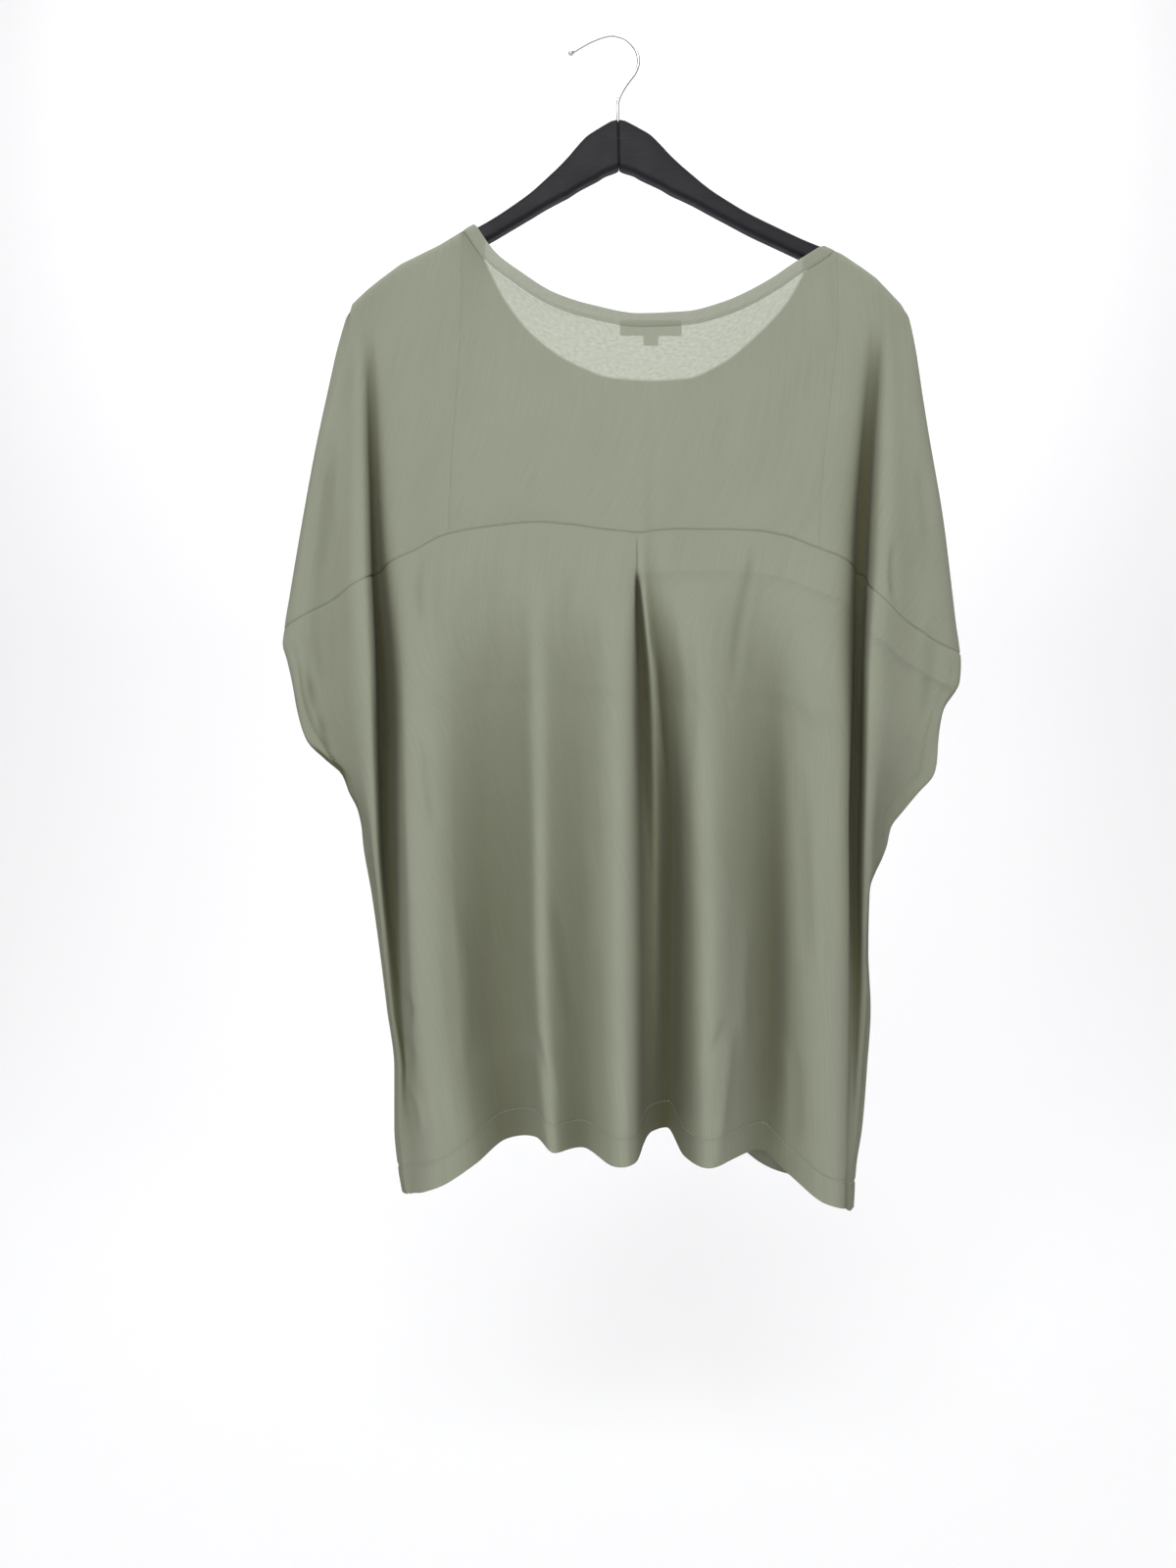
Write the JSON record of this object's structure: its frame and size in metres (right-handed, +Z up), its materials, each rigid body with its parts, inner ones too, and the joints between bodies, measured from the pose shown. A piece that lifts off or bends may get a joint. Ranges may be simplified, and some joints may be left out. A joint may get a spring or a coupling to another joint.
{
  "type": "t-shirt on a wooden hanger",
  "caption": "Loose short-sleeved jersey top with grown-on sleeves, back yoke, back pleat and scoop neck, hung open on a flat wooden hanger with a wire hook.",
  "frame": {"origin": "inner top of the hook's crook, in the hanger's middle plane, where a rod carries the hanger", "axes": "+Z up, along the hung top; +X to the right as the back of the top is seen; +Y from the back of the top to its front"},
  "size_m": [0.5603, 0.1029, 0.9728],
  "materials": {
    "jersey": "thin matt sage-green knit",
    "binding": "doubled matt sage-green knit",
    "tape": "smooth woven tape, blank",
    "painted_wood": "black satin paint",
    "steel": "bright wire"
  },
  "bodies": {
    "root": {"back_yoke": "jersey", "back_panel": "jersey", "front": "jersey", "neck_binding": "binding", "label": "tape", "size_tag": "tape", "hanger_arm_left": "painted_wood", "hanger_arm_right": "painted_wood", "hook": "steel"}
  },
  "joints": []
}
